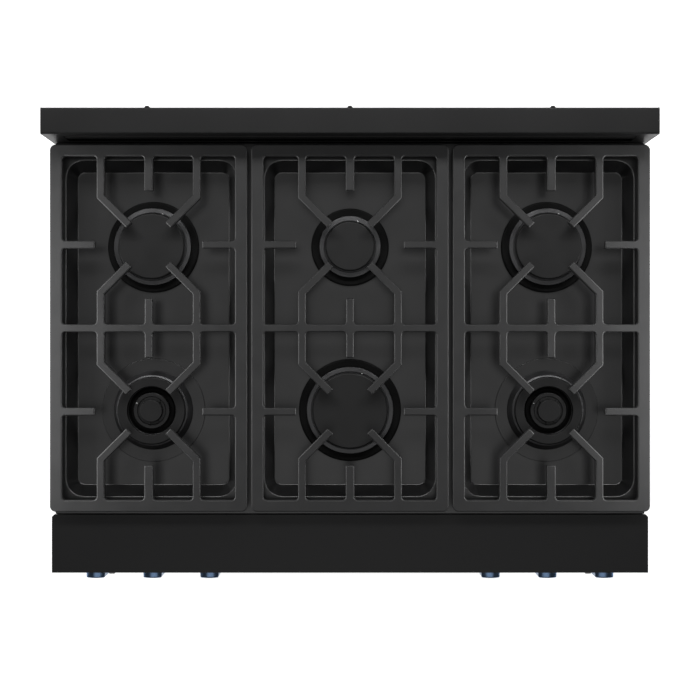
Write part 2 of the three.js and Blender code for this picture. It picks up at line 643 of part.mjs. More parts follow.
function addDoor() {
  const shellBack = DOOR_BACK - 4 - GAP;
  const notches = SIDES.map((side) =>
    block([side * HINGE.x - 14, side * HINGE.x + 14], [HINGE.y - 9, DOOR_BACK + 6], [188, 214]),
  );
  const shell = cut(
    wide(DOOR_HALF, [FACE, shellBack], DOOR_Z),
    wide(DOOR_HALF - SHEET, [FACE + SHEET, shellBack + 1], [DOOR_Z[0] + SHEET, DOOR_Z[1] - SHEET]),
    wide(WINDOW.halfWidth, [FACE - 1, FACE + SHEET + 1], WINDOW.z),
    notches,
  );
  add("door_shell", shell, FINISH.blackSteel);
  const glassY = [FACE + SHEET + GAP, FACE + SHEET + GAP + 5];
  const glassZ = [WINDOW.z[0] - GLASS_LAP, WINDOW.z[1] + GLASS_LAP];
  const glass = wide(WINDOW.halfWidth + GLASS_LAP, glassY, glassZ);
  add("door_window", glass, FINISH.glass);
  const inner = cut(
    wide(DOOR_HALF - 5, [DOOR_BACK - 4, DOOR_BACK], [DOOR_Z[0] + 5, DOOR_Z[1] - 5]),
    wide(INNER_WINDOW.halfWidth, [DOOR_BACK - 6, DOOR_BACK + 1], INNER_WINDOW.z),
    notches,
  );
  add("door_inner_panel", inner, FINISH.ovenEnamel);

  const { y, z, radius, bracketX } = HANDLE;
  const barEnds = [-bracketX - COLLAR.half, bracketX + COLLAR.half];
  add("door_handle_bar", rod("x", radius, barEnds, [0, y, z], 20), FINISH.blackSteel);
  for (const side of SIDES) {
    const x = side * bracketX;
    const name = side < 0 ? "handle_bracket_left" : "handle_bracket_right";
    const collar = rod("x", COLLAR.radius, [x - COLLAR.half, x + COLLAR.half], [0, y, z], 20);
    const post = rod("y", POST_RADIUS, [y + 10, FACE - GAP], [x, 0, z], 12);
    const bore = rod("x", radius + GAP, [x - 12, x + 12], [0, y, z], 20);
    add(name, cut(join(collar, post), bore), FINISH.blackSteel);
  }

  for (const side of SIDES) {
    const x = side * HINGE.x;
    const lugX = [x - 6, x + 6];
    const name = side < 0 ? "door_hinge_left" : "door_hinge_right";
    const hinge = join(
      rod("x", 7, lugX, [0, HINGE.y, HINGE.z], 16),
      block(lugX, [HINGE.y, CAVITY.y[0] - GAP], [HINGE.z - 7, HINGE.z + 7]),
      rod("x", 4, [x - 12, x + 12], [0, HINGE.y, HINGE.z], 10),
    );
    add(name, hinge, FINISH.galvanised);
  }
}

// ---------- legs ----------

function addLegs() {
  const leg = turned([
    [0, 0], [20, 0], [22, 2], [22, 10], [17, 14], [17, LEG_HEIGHT - GAP], [5, LEG_HEIGHT - GAP],
    [5, LEG_HEIGHT + 35], [0, LEG_HEIGHT + 35],
  ], 16);
  for (const side of SIDES) {
    for (const [row, y] of Object.entries(LEG_YS)) {
      const name = `leg_${row}_${side < 0 ? "left" : "right"}`;
      add(name, leg, FINISH.galvanised, [side * LEG_X, y, 0]);
    }
  }
}

addBody();
addCooktop();
addLedge();
addBackguard();
addBurners();
addGrates();
addControls();
addGasSystem();
addOven();
addRacks();
addDoor();
addLegs();

export default range;
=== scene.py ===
"""Freestanding gas range, 36 inches wide: the visual model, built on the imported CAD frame.

Shapes are worked out in millimetres and written in metres. The camera and the lights are placed in
metres. +Z is up and the front faces -Y.
"""
from math import atan2, ceil, cos, degrees, pi, radians, sin, tan

import bmesh
import bpy
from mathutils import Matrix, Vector
from mathutils.geometry import delaunay_2d_cdt, tessellate_polygon


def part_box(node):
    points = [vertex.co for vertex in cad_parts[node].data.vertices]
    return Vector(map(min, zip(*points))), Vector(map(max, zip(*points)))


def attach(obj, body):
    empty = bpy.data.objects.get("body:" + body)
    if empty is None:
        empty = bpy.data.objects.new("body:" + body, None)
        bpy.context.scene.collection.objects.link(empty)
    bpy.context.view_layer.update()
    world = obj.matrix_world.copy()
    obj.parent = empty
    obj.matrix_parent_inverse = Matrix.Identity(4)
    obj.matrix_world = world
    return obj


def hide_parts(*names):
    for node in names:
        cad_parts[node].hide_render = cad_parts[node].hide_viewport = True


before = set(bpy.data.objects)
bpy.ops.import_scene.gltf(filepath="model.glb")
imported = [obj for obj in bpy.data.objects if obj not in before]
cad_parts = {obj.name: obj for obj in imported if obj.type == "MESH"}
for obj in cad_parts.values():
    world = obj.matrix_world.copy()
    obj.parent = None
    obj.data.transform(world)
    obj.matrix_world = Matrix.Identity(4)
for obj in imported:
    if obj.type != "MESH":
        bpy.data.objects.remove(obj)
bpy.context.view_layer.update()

MM = 0.001
SIDES = {"left": -1, "right": 1}
COLUMNS = ("left", "middle", "right")


def limits(node):
    """Lowest and highest corner of a CAD node, in millimetres."""
    lo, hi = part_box(node)
    return lo / MM, hi / MM


def middle(node):
    lo, hi = limits(node)
    return (lo + hi) / 2


# ---------- camera ----------

CAMERA_HEIGHT = 2.752  # metres above the floor, straight above the range
CAMERA_Y = 0.0065
LENS = 61.88

camera = bpy.data.objects.new("camera", bpy.data.cameras.new("camera"))
camera.data.lens = LENS
camera.data.sensor_width = 36
camera.location = (0, CAMERA_Y, CAMERA_HEIGHT)
bpy.context.scene.collection.objects.link(camera)
bpy.context.scene.camera = camera

# ---------- materials ----------


class Shader:
    """A principled material in object space, with helpers for its nodes."""

    def __init__(self, name, color, roughness, metallic=0.0, specular=0.5):
        self.material = bpy.data.materials.new(name)
        self.material.use_nodes = True
        self.nodes = self.material.node_tree.nodes
        self.links = self.material.node_tree.links
        self.surface = self.nodes["Principled BSDF"]
        self.color = color
        self.roughness = roughness
        self.surface.inputs["Metallic"].default_value = metallic
        self.surface.inputs["Specular IOR Level"].default_value = specular
        self.place = self.nodes.new("ShaderNodeTexCoord").outputs["Object"]
        self.height = None

    def link(self, output, node, socket):
        self.links.new(output, node.inputs[socket])

    def stretched(self, scale):
        mapping = self.nodes.new("ShaderNodeMapping")
        mapping.inputs["Scale"].default_value = scale
        self.link(self.place, mapping, "Vector")
        return mapping.outputs["Vector"]

    def noise(self, scale, detail=3.0, place=None):
        texture = self.nodes.new("ShaderNodeTexNoise")
        texture.inputs["Scale"].default_value = scale
        texture.inputs["Detail"].default_value = detail
        self.link(place or self.place, texture, "Vector")
        return texture.outputs["Fac"]

    def flecks(self, scale, size):
        """1 inside scattered round specks, 0 between them."""
        texture = self.nodes.new("ShaderNodeTexVoronoi")
        texture.inputs["Scale"].default_value = scale
        self.link(self.place, texture, "Vector")
        return self.spread(texture.outputs["Distance"], size, size * 0.6, 0.0, 1.0)

    def spread(self, value, low, high, to_low, to_high):
        ranged = self.nodes.new("ShaderNodeMapRange")
        ranged.inputs["From Min"].default_value = low
        ranged.inputs["From Max"].default_value = high
        ranged.inputs["To Min"].default_value = to_low
        ranged.inputs["To Max"].default_value = to_high
        self.link(value, ranged, "Value")
        return ranged.outputs["Result"]

    def tint(self, value, low_color, high_color):
        """Colour from one tone to another as the value goes from 0 to 1."""
        mix = self.nodes.new("ShaderNodeMix")
        mix.data_type = "RGBA"
        self.link(value, mix, "Factor")
        mix.inputs[6].default_value = (*low_color, 1)
        mix.inputs[7].default_value = (*high_color, 1)
        return mix.outputs[2]

    def mottled(self, value, amount):
        """Varies the base colour and the roughness a little with the value given."""
        dark = [c * (1 - amount) for c in self.color]
        light = [c * (1 + amount) for c in self.color]
        share = self.spread(value, 0.3, 0.7, 0.0, 1.0)
        self.link(self.tint(share, dark, light), self.surface, "Base Color")
        return self.uneven(value, amount)

    def uneven(self, value, amount):
        """Varies the roughness a little with the value given."""
        low, high = self.roughness * (1 - amount * 0.5), self.roughness * (1 + amount * 0.5)
        self.link(self.spread(value, 0.3, 0.7, low, high), self.surface, "Roughness")
        return self

    def bump(self, value, strength, depth):
        bump = self.nodes.new("ShaderNodeBump")
        bump.inputs["Strength"].default_value = strength
        bump.inputs["Distance"].default_value = depth
        self.link(value, bump, "Height")
        if self.height:
            self.link(self.height, bump, "Normal")
        self.height = bump.outputs["Normal"]
        self.link(self.height, self.surface, "Normal")
        return self


def powder_coat(name, tone, roughness, specular):
    """Satin black paint with a fine orange peel."""
    shader = Shader(name, tone, roughness, specular=specular)
    shader.mottled(shader.noise(9.0), 0.10)
    return shader.bump(shader.noise(900.0, 2.0), 0.05, 0.0002).material


def enamel(name, tone, roughness, specular):
    """Vitreous enamel: glassy, with faint specks in it."""
    shader = Shader(name, tone, roughness, specular=specular)
    shader.uneven(shader.noise(6.0), 0.12)
    specks = shader.flecks(420.0, 0.16)
    shader.link(shader.tint(specks, tone, [c * 2.2 for c in tone]), shader.surface, "Base Color")
    return shader.bump(shader.noise(140.0, 1.0), 0.02, 0.0005).material


def cast_iron(name, tone, roughness, specular):
    """Enamelled casting: a soft, slightly pitted skin over a wavy surface."""
    shader = Shader(name, tone, roughness, specular=specular)
    shader.mottled(shader.noise(30.0, 5.0), 0.14)
    shader.bump(shader.noise(40.0, 1.0), 0.008, 0.001)
    return shader.bump(shader.noise(1100.0, 3.0), 0.03, 0.0002).material


def cast_metal(name, tone, roughness, metallic=1.0):
    """Bead-blasted cast metal, slightly stained."""
    shader = Shader(name, tone, roughness, metallic)
    shader.mottled(shader.noise(45.0, 5.0), 0.20)
    return shader.bump(shader.noise(1400.0, 2.0), 0.12, 0.0002).material


def turned_metal(name, tone, roughness):
    """Anodised metal with the fine rings a lathe leaves round a front-to-back axis."""
    shader = Shader(name, tone, roughness, 1.0)
    rings = shader.noise(1.0, 4.0, shader.stretched((14.0, 2600.0, 14.0)))
    shader.mottled(rings, 0.16)
    return shader.bump(rings, 0.06, 0.0001).material


def galvanised(name, tone):
    """Zinc-coated sheet with its patchwork of crystals."""
    shader = Shader(name, tone, 0.42, 0.9)
    texture = shader.nodes.new("ShaderNodeTexVoronoi")
    texture.inputs["Scale"].default_value = 90.0
    shader.link(shader.place, texture, "Vector")
    shader.mottled(texture.outputs["Color"], 0.14)
    return shader.bump(shader.noise(600.0), 0.04, 0.0002).material


def oven_enamel(name, tone):
    """Dark oven enamel with light flecks."""
    shader = Shader(name, tone, 0.25)
    shader.uneven(shader.noise(8.0), 0.15)
    flecks = shader.flecks(260.0, 0.22)
    shader.link(shader.tint(flecks, tone, (0.30, 0.32, 0.36)), shader.surface, "Base Color")
    return shader.bump(shader.noise(120.0, 1.0), 0.03, 0.0005).material


def bright_wire(name, tone, roughness):
    shader = Shader(name, tone, roughness, 1.0)
    shader.mottled(shader.noise(60.0), 0.10)
    return shader.bump(shader.noise(500.0), 0.03, 0.0001).material


def tinted_glass(name):
    shader = Shader(name, (0.10, 0.11, 0.12), 0.04)
    shader.surface.inputs["Transmission Weight"].default_value = 1.0
    shader.surface.inputs["IOR"].default_value = 1.5
    shader.mottled(shader.noise(12.0), 0.05)
    return shader.material


def ceramic(name, tone, roughness):
    shader = Shader(name, tone, roughness)
    shader.mottled(shader.noise(300.0), 0.05)
    return shader.bump(shader.noise(900.0), 0.04, 0.0001).material


def rubber(name, tone):
    """Woven oven-door gasket."""
    shader = Shader(name, tone, 0.8)
    weave = shader.noise(1.0, 2.0, shader.stretched((700.0, 700.0, 1500.0)))
    shader.mottled(weave, 0.25)
    return shader.bump(weave, 0.5, 0.0005).material


STEEL = powder_coat("powder_coated_steel", (0.005, 0.005, 0.0052), 0.42, 0.28)
HANDLE = powder_coat("handle_coat", (0.012, 0.012, 0.0125), 0.36, 0.45)
ENAMEL = enamel("cooktop_enamel", (0.0040, 0.0040, 0.0042), 0.30, 0.70)
IRON = cast_iron("cast_iron", (0.013, 0.013, 0.0133), 0.50, 0.36)
CAP = cast_iron("cap_enamel", (0.007, 0.007, 0.0072), 0.48, 0.32)
# Near-black and barely reflecting: the black burner bases, and painted shade where the gaps round the
# burners are dark.
BLACK_BASE_AND_PAINTED_SHADE = cast_iron("burner_black_base_and_painted_shade", (0.003, 0.003, 0.003), 0.60, 0.08)
ALLOY = cast_metal("burner_alloy", (0.068, 0.068, 0.070), 0.42, 0.8)
BLUE = turned_metal("blue_anodised", (0.15, 0.23, 0.37), 0.30)
ZINC = galvanised("galvanised_steel", (0.42, 0.43, 0.44))
LEG = cast_metal("leg_steel", (0.30, 0.30, 0.31), 0.35)
OVEN = oven_enamel("oven_enamel", (0.018, 0.020, 0.028))
CHROME = bright_wire("chrome_wire", (0.75, 0.76, 0.78), 0.16)
GLASS = tinted_glass("window_glass")
BRASS = bright_wire("brass", (0.55, 0.38, 0.14), 0.30)
WHITE = ceramic("igniter_ceramic", (0.86, 0.85, 0.82), 0.35)
MARKING = ceramic("printed_marking", (0.60, 0.61, 0.63), 0.50)
BLACK_PRINT = ceramic("window_border", (0.006, 0.006, 0.007), 0.12)
GASKET = rubber("door_gasket", (0.035, 0.034, 0.033))

# ---------- outlines ----------

QUARTER_STEPS = 6  # straight pieces in a quarter of a rounded corner
EDGE_STEPS = 4  # the same in a rounded edge
CHAMFER_EASE = 0.3  # how much the two corners of a chamfer are softened
SHARP_ANGLE = 28  # degrees from which an edge is shaded as a crease
FLAT_STRIP = 0.1  # round a flat lid, so that a rounded edge doesn't shade into it


def fillet(corners, inset=0.0, quarter=QUARTER_STEPS):
    """An outline of (x, y, radius) corners with the material on its left, each corner rounded by an
    arc and the whole moved inwards by the inset. The number of points doesn't depend on the inset."""
    points = []
    count = len(corners)
    for i in range(count):
        x0, y0 = corners[i - 1][:2]
        x1, y1, radius = corners[i]
        x2, y2 = corners[(i + 1) % count][:2]
        before = Vector((x1 - x0, y1 - y0)).normalized()
        after = Vector((x2 - x1, y2 - y1)).normalized()
        turn = atan2(before.x * after.y - before.y * after.x, before.dot(after))
        half = tan(turn / 2)
        left = Vector((-before.y, before.x))
        corner = Vector((x1, y1)) + (left - before * half) * inset
        if radius == 0:
            points.append(corner)
            continue
        side = 1 if turn > 0 else -1
        arc = max(radius - side * inset, 0.05)
        start = corner - before * arc * abs(half)
        centre = start + left * side * arc
        steps = max(2, ceil(abs(turn) / (pi / 2) * quarter))
        spoke = start - centre
        for step in range(steps + 1):
            angle = turn * step / steps
            c, s = cos(angle), sin(angle)
            points.append(centre + Vector((spoke.x * c - spoke.y * s, spoke.x * s + spoke.y * c)))
    return points


def rectangle(x, y, radius=0.0, centre=(0.0, 0.0)):
    """Corners of a rectangle from its half sizes, anticlockwise."""
    cx, cy = centre
    return [(cx + sx * x, cy + sy * y, radius) for sx, sy in ((1, -1), (1, 1), (-1, 1), (-1, -1))]


def circle(radius, centre=(0.0, 0.0), count=64, start=0.0):
    cx, cy = centre
    angles = [start + 2 * pi * i / count for i in range(count)]
    return [Vector((cx + radius * cos(a), cy + radius * sin(a))) for a in angles]


def sharp(points):
    """Points as corners that aren't rounded."""
    return [(p.x, p.y, 0) for p in points]


def stroke(route, width):
    """The polygon that a bar of the given width covers along a route, mitred at its bends."""
    sides = ([], [])
    route = [Vector(p) for p in route]
    for i, point in enumerate(route):
        before = (point - route[i - 1]).normalized() if i else None
        after = (route[i + 1] - point).normalized() if i + 1 < len(route) else None
        along = ((before or after) + (after or before)).normalized()
        across = Vector((-along.y, along.x))
        reach = width / 2 / along.dot(after or before)
        sides[0].append(point + across * reach)
        sides[1].append(point - across * reach)
    return sides[1] + sides[0][::-1]


def merged_outline(polygons):
    """Closed outlines of the area that overlapping polygons cover, material on the left."""
    points, faces = [], []
    for polygon in polygons:
        faces.append(list(range(len(points), len(points) + len(polygon))))
        points.extend(polygon)
    points, _, faces, _, _, origins = delaunay_2d_cdt(points, [], faces, 0, 1e-4)
    covered = [face for face, origin in zip(faces, origins) if origin]
    sides = {(f[i - 1], f[i]) for f in covered for i in range(len(f))}
    following = {a: b for a, b in sides if (b, a) not in sides}
    outlines = []
    while following:
        start, point = following.popitem()
        loop = [start]
        while point != start:
            loop.append(point)
            point = following.pop(point)
        outlines.append([points[i] for i in loop])
    return outlines


def corners_of(outline, radius_at):
    """The true corners of an outline, each with the radius that radius_at(point, turn) gives."""
    corners = []
    count = len(outline)
    kept = []
    for i in range(count):
        a, b, c = outline[i - 1], outline[i], outline[(i + 1) % count]
        before, after = (b - a).normalized(), (c - b).normalized()
        turn = atan2(before.x * after.y - before.y * after.x, before.dot(after))
        if abs(turn) > radians(2):
            kept.append((b, turn))
    for point, turn in kept:
        corners.append((point.x, point.y, radius_at(point, degrees(turn))))
    return corners


# ---------- solids ----------


class Solid:
    """Vertices and faces of a piece, in millimetres, made of one or more closed shells."""

    def __init__(self):
        self.vertices = []
        self.faces = []
        self.slots = []

    def ring(self, points):
        start = len(self.vertices)
        self.vertices.extend(Vector(p) for p in points)
        return list(range(start, len(self.vertices)))

    def face(self, *indices, slot=0):
        self.faces.append(indices)
        self.slots.append(slot)

    def wall(self, lower, upper, slot=0):
        """Faces between two rings of as many points each."""
        for i in range(len(lower)):
            j = (i + 1) % len(lower)
            self.face(lower[i], lower[j], upper[j], upper[i], slot=slot)

    def lid(self, rings, flip=False, slot=0):
        """A flat cap over an outline and the holes in it."""
        flat = [i for ring in rings for i in ring]
        outlines = [[self.vertices[i].copy() for i in ring] for ring in rings]
        for a, b, c in tessellate_polygon(outlines):
            triangle = (flat[a], flat[b], flat[c])
            self.face(*(triangle[::-1] if flip else triangle), slot=slot)

    def prism(self, outlines, levels, turn=None, slot=0):
        """Outlines of corners run through (height, inset) levels from the lowest to the highest."""
        turn = turn or (lambda x, y, z: (x, y, z))
        (low, low_inset), (high, high_inset) = levels[0], levels[-1]
        framed = [(low, low_inset + FLAT_STRIP), *levels, (high, high_inset + FLAT_STRIP)]
        stacks = []
        for corners in outlines:
            rings = [
                self.ring(turn(p.x, p.y, height) for p in fillet(corners, inset))
                for height, inset in framed
            ]
            for lower, upper in zip(rings, rings[1:]):
                self.wall(lower, upper, slot=slot)
            stacks.append(rings)
        self.lid([rings[0] for rings in stacks], flip=True, slot=slot)
        self.lid([rings[-1] for rings in stacks], slot=slot)
        return self

    def turned(self, profile, centre, axis="z", steps=96, slot=0):
        """A closed profile of (radius, along, fillet) corners turned about an axis."""
        place = {
            "x": lambda r, h, c, s: (h, r * c, r * s),
            "y": lambda r, h, c, s: (r * c, h, -r * s),
            "z": lambda r, h, c, s: (r * c, r * s, h),
        }[axis]
        outline = fillet(profile, quarter=EDGE_STEPS)
        angles = [2 * pi * i / steps for i in range(steps)]
        rings = []
        for p in outline:
            points = [Vector(place(max(p.x, 0.0), p.y, cos(a), sin(a))) for a in angles]
            rings.append(self.ring(point + Vector(centre) for point in points))
        for i, p in enumerate(outline):
            j = (i + 1) % len(outline)
            if max(p.x, outline[j].x) > 1e-4:
                self.wall(rings[i], rings[j], slot=slot)
        return self

    def tube(self, route, radius, sides=16):
        """A round bar along a route of points, with flat ends."""
        route = [Vector(p) for p in route]
        heading = [(b - a).normalized() for a, b in zip(route, route[1:])]
        across = heading[0].orthogonal().normalized()
        up = heading[0].cross(across)
        angles = [2 * pi * i / sides for i in range(sides)]
        spokes = [across * cos(a) + up * sin(a) for a in angles]
        rings = [[route[0] + spoke * radius for spoke in spokes]]
        for i in range(1, len(route)):
            along = heading[i - 1]
            mitre = along + heading[i] if i < len(heading) else along
            reach = mitre.dot(along)
            rings.append([p + along * (mitre.dot(route[i] - p) / reach) for p in rings[-1]])
        rings = [self.ring(ring) for ring in rings]
        for lower, upper in zip(rings, rings[1:]):
            self.wall(lower, upper)
        self.face(*rings[0][::-1])
        self.face(*rings[-1])
        return self

    def piece(self, name, materials, body, slot, replaces=()):
        """Makes the object and puts it on its body. The slot argument, the finish's name, is not used."""
        materials = materials if isinstance(materials, (list, tuple)) else [materials]
        mesh = bpy.data.meshes.new(name)
        mesh.from_pydata([v * MM for v in self.vertices], [], self.faces)
        for number, polygon in zip(self.slots, mesh.polygons):
            polygon.material_index = number
        for material in materials:
            mesh.materials.append(material)
        shape = bmesh.new()
        shape.from_mesh(mesh)
        bmesh.ops.remove_doubles(shape, verts=shape.verts, dist=2e-6)
        bmesh.ops.dissolve_degenerate(shape, edges=shape.edges, dist=1e-6)
        bmesh.ops.recalc_face_normals(shape, faces=shape.faces)
        shape.to_mesh(mesh)
        shape.free()
        mesh.shade_smooth()
        mesh.set_sharp_from_angle(angle=radians(SHARP_ANGLE))
        obj = bpy.data.objects.new(name, mesh)
        bpy.context.scene.collection.objects.link(obj)
        shading = obj.modifiers.new("even shading", "WEIGHTED_NORMAL")
        shading.keep_sharp = True
        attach(obj, body)
        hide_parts(*replaces)
        return obj


def rounded_edge(radius, height):
    """(height, inset) levels of a quarter-round edge that ends at the height given."""
    angles = [pi / 2 * i / EDGE_STEPS for i in range(EDGE_STEPS + 1)]
    return [(height - radius * (1 - sin(a)), radius * (1 - cos(a))) for a in angles]


def chamfered_edge(size, height):
    """(height, inset) levels of a 45 degree edge with its two corners eased."""
    ease = CHAMFER_EASE
    return [
        (height - size - ease, 0.0), (height - size + ease / 2, ease / 2),
        (height - ease / 2, size - ease / 2), (height, size + ease),
    ]


def slab(low, high, edge, base_edge):
    """Levels of a plate with rounded upper and lower edges."""
    base = [(2 * low - height, inset) for height, inset in rounded_edge(base_edge, low)]
    return base[::-1] + rounded_edge(edge, high)


# ---------- cooktop ----------

PITCH = 252  # burner row to burner row
WELL_RIM = (129.5, 256.0, 26.0)  # half width, half length and corner radius
WELL_FLOOR = (118.0, 242.5, 12.0)
WELL_DEPTH = 23
BURNER_HOLE = 19
LIP = 2.2
FLOOR_CURVE = 2.0
FLAT_BORDER = 1.0
COOKTOP_SHEET = 1.5
COOKTOP_CORNER = 3.0
COOKTOP_EDGE = 1.5
CURVE_STEPS = 5  # levels round each bend of the pressed sheet
CURVE_TURN = 16  # degrees from one of them to the next
PAN_FLOOR = limits("cooktop")[1].z - WELL_DEPTH


def well_rings(solid, centre, deck, grown):
    """The rings of one pressed well, from the deck down to its floor, grown by the sheet's thickness."""
    def outline(sizes, grow):
        x, y, radius = (size + grow + grown for size in sizes)
        return fillet(rectangle(x, y, radius, (centre.x, centre.y)))

    floor = deck - WELL_DEPTH
    levels = [(WELL_RIM, LIP + FLAT_BORDER, deck)]
    for step in range(CURVE_STEPS):
        angle = radians(CURVE_TURN * step)
        levels.append((WELL_RIM, LIP * (1 - sin(angle)), deck - LIP * (1 - cos(angle))))
    for step in reversed(range(CURVE_STEPS)):
        angle = radians(CURVE_TURN * step)
        height = floor + FLOOR_CURVE * (1 - cos(angle))
        levels.append((WELL_FLOOR, FLOOR_CURVE * (sin(angle) - 1), height))
    levels.append((WELL_FLOOR, -FLOOR_CURVE - FLAT_BORDER, floor))
    rings = [solid.ring((*p, height) for p in outline(sizes, grow)) for sizes, grow, height in levels]
    for upper, lower in zip(rings, rings[1:]):
        solid.wall(upper, lower)
    return rings[0], rings[-1]


def cooktop_skin(solid, lo, hi, thickness):
    """One face of the pressed sheet. Gives back its free edges: the skirt's and the burner holes'."""
    centre = (lo + hi) / 2
    half = ((hi.x - lo.x) / 2 - thickness, (hi.y - lo.y) / 2 - thickness)
    deck = hi.z - thickness
    plan = rectangle(*half, COOKTOP_CORNER, (centre.x, centre.y))
    edge = rounded_edge(COOKTOP_EDGE, deck)
    skirt = [
        solid.ring((*p, height) for p in fillet(plan, inset))
        for height, inset in [(lo.z, 0.0)] + edge + [(deck, COOKTOP_EDGE + FLAT_BORDER)]
    ]
    for lower, upper in zip(skirt, skirt[1:]):
        solid.wall(lower, upper)
    rims = []
    free_edges = [skirt[0]]
    for column in COLUMNS:
        well = middle(f"grate_{column}")
        rim, floor = well_rings(solid, well, deck, thickness)
        rims.append(rim)
        holes = []
        for row in (1, -1):
            edge = circle(BURNER_HOLE, (well.x, well.y + row * PITCH / 2))
            holes.append(solid.ring((*p, PAN_FLOOR - thickness) for p in edge))
        solid.lid([floor] + holes)
        free_edges += holes
    solid.lid([skirt[-1]] + rims)
    return free_edges


def make_cooktop():
    lo, hi = limits("cooktop")
    solid = Solid()
    upper = cooktop_skin(solid, lo, hi, 0.0)
    lower = cooktop_skin(solid, lo, hi, COOKTOP_SHEET)
    for top_edge, bottom_edge in zip(upper, lower):
        solid.wall(top_edge, bottom_edge)
    solid.piece("cooktop_pressing", ENAMEL, "root", "cooktop_enamel", ["cooktop"])


make_cooktop()

# ---------- grates ----------

GRATE_BAR = 11.5
CENTRE_FINGER = 13.0
SIDE_BAR = 18.5
END_BAR = 17.7
FINGER_BEND = 72.5  # where a straight bar turns 45 degrees towards the burner
FINGER_TIP = 29.4
SHORT_TIP = 81.2  # tips of the short straight fingers from the burner's middle
GRATE_DEPTH = 15.0
GRATE_CORNER = 9.0
GRATE_FILLET = 5.0
GRATE_EDGE = 1.3
FINGER_FILLET = 1.6
FOOT_INSET = (8, 14)  # a foot's middle from the grate's side and from its end


def grate_bars(half_x, half_y):
    """The routes and widths of one grate's bars about its middle."""
    inner_x, inner_y = half_x - SIDE_BAR / 2, half_y - END_BAR / 2
    bars = [([(-half_x, 0), (half_x, 0)], GRATE_BAR)]
    for side in (1, -1):
        bars.append(([(side * inner_x, -half_y), (side * inner_x, half_y)], SIDE_BAR))
        bars.append(([(-half_x, side * inner_y), (half_x, side * inner_y)], END_BAR))
    for outer in (1, -1):
        row = outer * PITCH / 2
        for side in (1, -1):
            x = side * FINGER_BEND
            for away, root in ((outer, outer * inner_y), (-outer, 0)):
                tip = (side * FINGER_TIP, row + away * FINGER_TIP)
                bars.append(([(x, root), (x, row + away * FINGER_BEND), tip], GRATE_BAR))
            bars.append(([(side * inner_x, row), (side * SHORT_TIP, row)], GRATE_BAR))
        bars.append(([(0, outer * inner_y), (0, row + outer * SHORT_TIP)], CENTRE_FINGER))
        bars.append(([(0, 0), (0, row - outer * SHORT_TIP)], GRATE_BAR))
    return bars


def make_grate(column):
    lo, hi = limits(f"grate_{column}")
    centre = (lo + hi) / 2
    half_x, half_y = (hi.x - lo.x) / 2, (hi.y - lo.y) / 2

    def radius_at(point, turn):
        if abs(point.x) > half_x - 1 and abs(point.y) > half_y - 1:
            return GRATE_CORNER
        if abs(turn) < 60:
            return 0
        return GRATE_FILLET if turn < 0 else FINGER_FILLET

    plan = merged_outline([stroke(route, width) for route, width in grate_bars(half_x, half_y)])
    outlines = [
        [(centre.x + x, centre.y + y, radius) for x, y, radius in corners_of(outline, radius_at)]
        for outline in plan
    ]
    outlines.sort(key=lambda corners: min(x for x, _, _ in corners))
    solid = Solid()
    base = hi.z - GRATE_DEPTH
    solid.prism(outlines, [(base, 1.8), (base + 1, 0.8)] + chamfered_edge(GRATE_EDGE, hi.z))
    for side in (1, -1):
        for row in (1, 0, -1):
            foot_x = centre.x + side * (half_x - FOOT_INSET[0])
            foot_y = centre.y + row * (half_y - FOOT_INSET[1])
            foot = rectangle(6, 7, 3, (foot_x, foot_y))
            solid.prism([foot], [(lo.z, 2.5), (lo.z + 1.5, 1.5), (base + 3, 0)])
    solid.piece(f"cast_grate_{column}", IRON, f"grate_{column}", "cast_iron", [f"grate_{column}"])


for column in COLUMNS:
    make_grate(column)

# ---------- burners ----------

SINGLE_BURNERS = ("rear_left", "rear_middle", "rear_right", "front_middle")
DUAL_BURNERS = ("front_left", "front_right")
# how far each head reaches past its cap
HEAD_MARGIN = {"rear_left": 8.8, "rear_middle": 9.4, "rear_right": 8.8, "front_middle": 8.8}
THROAT = 38  # how far a mixing tube reaches below the pan
CAP_SEAT = 18
SEAT_GAP = 0.3
TOOTH_SHARE = 0.62
IGNITER_ANGLE = radians(72)


def gear(outer, valley, teeth, share):
    """Corners of a toothed ring: each tooth takes the given share of its pitch."""
    corners = []
    for i in range(teeth):
        for radius, turn in ((outer, 0.0), (outer, share), (valley, share), (valley, 1.0)):
            angle = 2 * pi * (i + turn) / teeth
            corners.append((radius * cos(angle), radius * sin(angle), 0))
    return corners


def shifted(corners, centre):
    return [(centre.x + x, centre.y + y, radius) for x, y, radius in corners]


def port_ring(solid, centre, radius, low, high, teeth, slot=0):
    """The slotted ring that the flames leave through."""
    hole = sharp(circle(radius - 7))[::-1]
    outlines = [shifted(gear(radius, radius - 3, teeth, TOOTH_SHARE), centre), shifted(hole, centre)]
    solid.prism(outlines, [(PAN_FLOOR + low, 0), (PAN_FLOOR + high, 0)], slot=slot)


def make_igniter(name, x, y, top):
    """A ceramic electrode with its steel pin."""
    solid = Solid()
    foot = (x, y, PAN_FLOOR)
    neck = top - 1.5
    solid.turned(
        [(0, 1, 0), (2.4, 1, 0), (2.4, 8, 0.5), (1.0, 9, 0), (1.0, neck, 0.4), (0, neck, 0)], foot, steps=24
    )
    pin = [(0, top - 3, 0), (0.7, top - 3, 0), (0.7, top, 0.3), (0, top, 0)]
    solid.turned(pin, foot, steps=12, slot=1)
    solid.piece(f"igniter_{name}", [WHITE, CHROME], "root", "burner_alloy")


